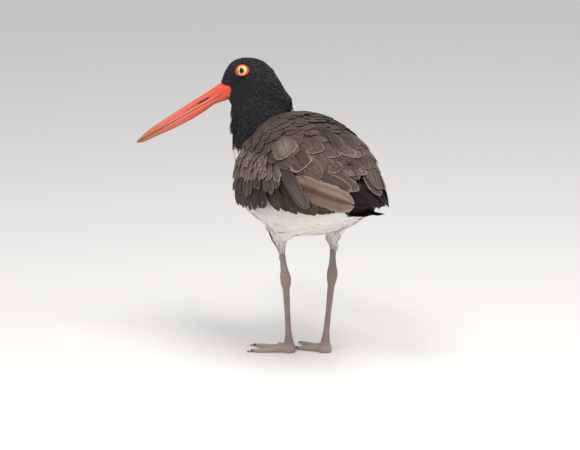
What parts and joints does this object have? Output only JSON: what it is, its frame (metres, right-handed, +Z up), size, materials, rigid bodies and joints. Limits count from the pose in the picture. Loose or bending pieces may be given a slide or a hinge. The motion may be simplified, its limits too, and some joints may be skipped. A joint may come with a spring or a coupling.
{
  "type": "american oystercatcher",
  "caption": "Still life-size oystercatcher standing on both feet, body level, head turned to its left, long straight bill pointing down.",
  "frame": {"origin": "on the floor, below the middle of the whole bird's box", "axes": "+Z up, the body faces -Y, the bird's left side is +X; the head is turned to its left"},
  "size_m": [0.1602, 0.2448, 0.2471],
  "materials": {
    "mantle_feathers": "matte brown feathers",
    "black_feathers": "soft black feathers with a slight sheen",
    "white_feathers": "soft white feathers",
    "bill": "smooth horn, orange-red to yellowish at the tip",
    "eye": "wet glossy yellow eye",
    "eye_ring": "bare orange-red skin",
    "leg_skin": "scaly pale pinkish-grey skin",
    "claw": "dark horn"
  },
  "bodies": {
    "root": {"torso": "white_feathers", "neck": "black_feathers", "head": "black_feathers", "bill_upper": "bill", "bill_lower": "bill", "tail": "black_feathers", "left_eye": "eye", "left_lid": "eye_ring", "left_wing": "mantle_feathers", "left_thigh": "white_feathers", "left_shank": "leg_skin", "left_tarsus": "leg_skin", "left_knuckle": "leg_skin", "left_toe_inner": "leg_skin", "left_claw_inner": "claw", "left_toe_middle": "leg_skin", "left_claw_middle": "claw", "left_toe_outer": "leg_skin", "left_claw_outer": "claw", "right_eye": "eye", "right_lid": "eye_ring", "right_wing": "mantle_feathers", "right_thigh": "white_feathers", "right_shank": "leg_skin", "right_tarsus": "leg_skin", "right_knuckle": "leg_skin", "right_toe_inner": "leg_skin", "right_claw_inner": "claw", "right_toe_middle": "leg_skin", "right_claw_middle": "claw", "right_toe_outer": "leg_skin", "right_claw_outer": "claw"}
  },
  "joints": []
}
